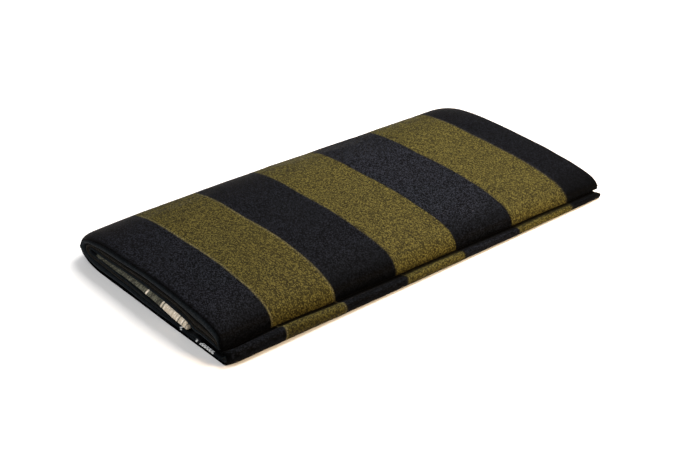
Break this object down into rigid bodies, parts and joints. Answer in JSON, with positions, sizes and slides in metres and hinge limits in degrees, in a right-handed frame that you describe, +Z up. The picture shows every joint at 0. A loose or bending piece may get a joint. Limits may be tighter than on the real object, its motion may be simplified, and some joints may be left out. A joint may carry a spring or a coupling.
{
  "type": "folded striped lungi",
  "caption": "Cotton lungi in wide dark charcoal and olive stripes, folded flat into a long rectangular packet with cream cross-border lines at one end.",
  "frame": {"origin": "centre of the box's underside, on the surface that the packet lies on", "axes": "+X along the packet's length, from the end with the cream border lines to the other end, +Y from the open front folds to the spine, +Z up"},
  "size_m": [0.301, 0.148, 0.0234],
  "materials": {
    "striped_cotton": "plain-woven cotton in dark charcoal and olive stripes, matt",
    "dark_cotton": "plain-woven cotton, near black, matt",
    "olive_cotton": "plain-woven olive cotton with cream cross-border lines, matt"
  },
  "bodies": {
    "root": {"outer_layer": "striped_cotton", "hidden_layers": "dark_cotton", "border_layer": "olive_cotton"}
  },
  "joints": []
}
